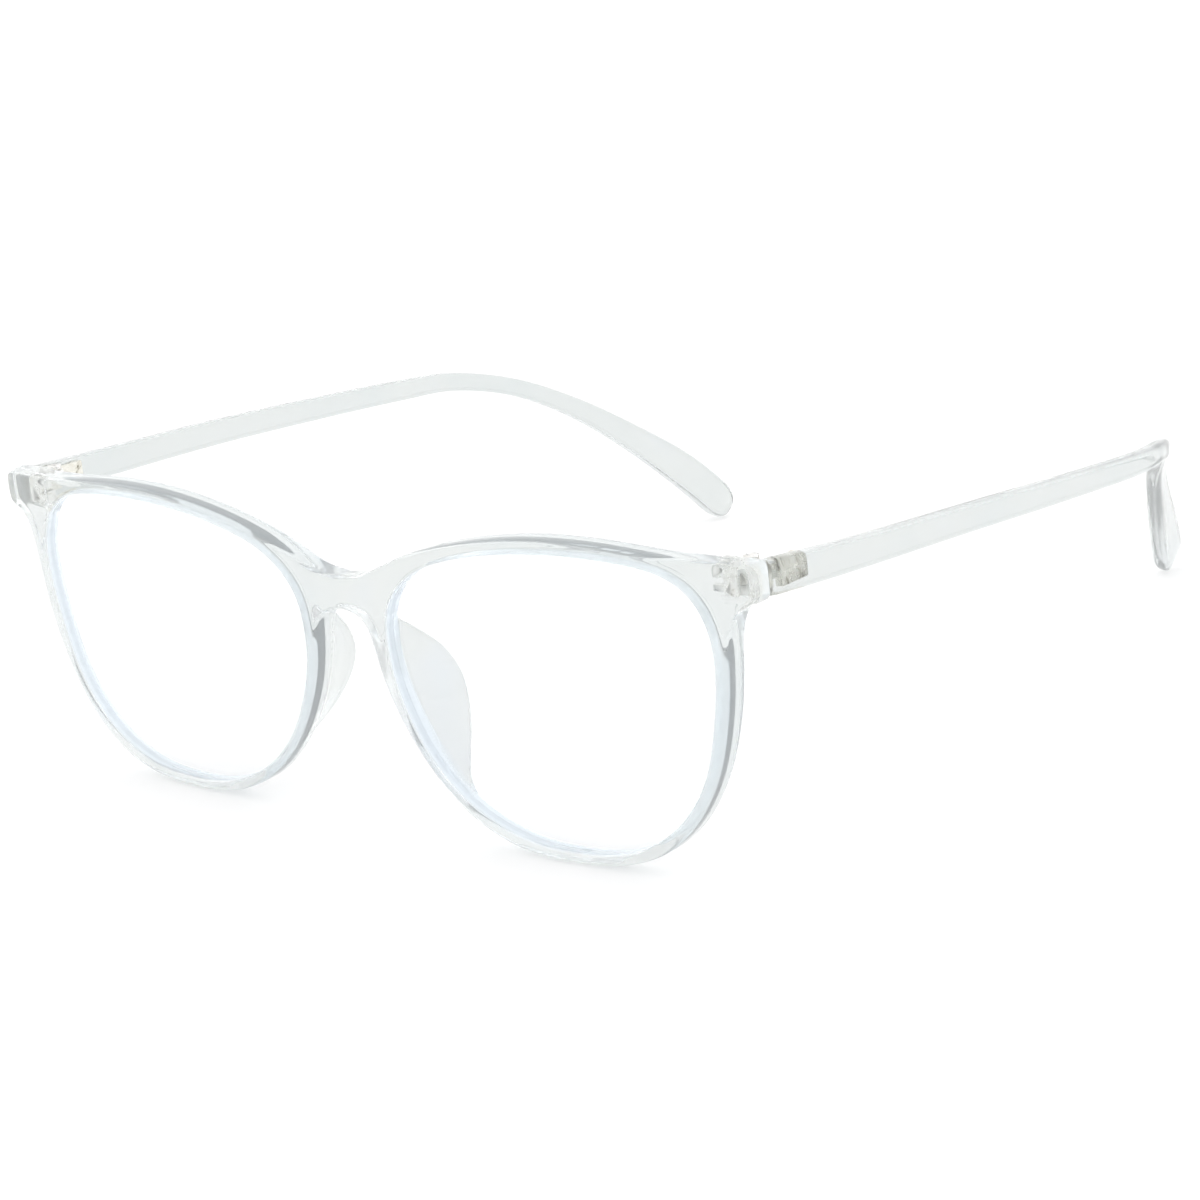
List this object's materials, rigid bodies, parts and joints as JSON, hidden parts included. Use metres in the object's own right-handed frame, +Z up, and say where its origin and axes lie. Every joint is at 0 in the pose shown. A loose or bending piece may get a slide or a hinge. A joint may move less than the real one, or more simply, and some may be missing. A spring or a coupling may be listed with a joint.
{
  "type": "blue light glasses",
  "caption": "Clear plastic glasses with rounded cat-eye rims, blue-light lenses, moulded nose pads and side arms that fold on small metal hinges.",
  "frame": {"origin": "on the table under the middle of the whole pair standing open: midway between the sides and midway from front to arm tips", "axes": "+X towards the wearer's left side, +Y back along the arms to the tips (the wearer looks towards -Y), +Z up"},
  "size_m": [0.1394, 0.1324, 0.0431],
  "materials": {
    "clear_plastic": "clear, polished",
    "lens": "clear, polished, with a faint blue coating",
    "hinge_metal": "satin",
    "screw_steel": "polished"
  },
  "bodies": {
    "front": {"front_frame": "clear_plastic", "lens_left": "lens", "lens_right": "lens", "hinge_front_left": "hinge_metal", "hinge_front_right": "hinge_metal", "hinge_screw_left": "screw_steel", "hinge_screw_right": "screw_steel"},
    "left_arm": {"temple_left": "clear_plastic", "hinge_temple_left": "hinge_metal"},
    "right_arm": {"temple_right": "clear_plastic", "hinge_temple_right": "hinge_metal"}
  },
  "joints": [
    {"name": "left_arm_fold", "type": "hinge", "parent": "front", "child": "left_arm", "pos_m": [0.0627, -0.05732, 0.0394], "axis": [0, 0, 1], "range_deg": [0, 80]},
    {"name": "right_arm_fold", "type": "hinge", "parent": "front", "child": "right_arm", "pos_m": [-0.0627, -0.05732, 0.0394], "axis": [0, 0, -1], "range_deg": [0, 66]}
  ]
}
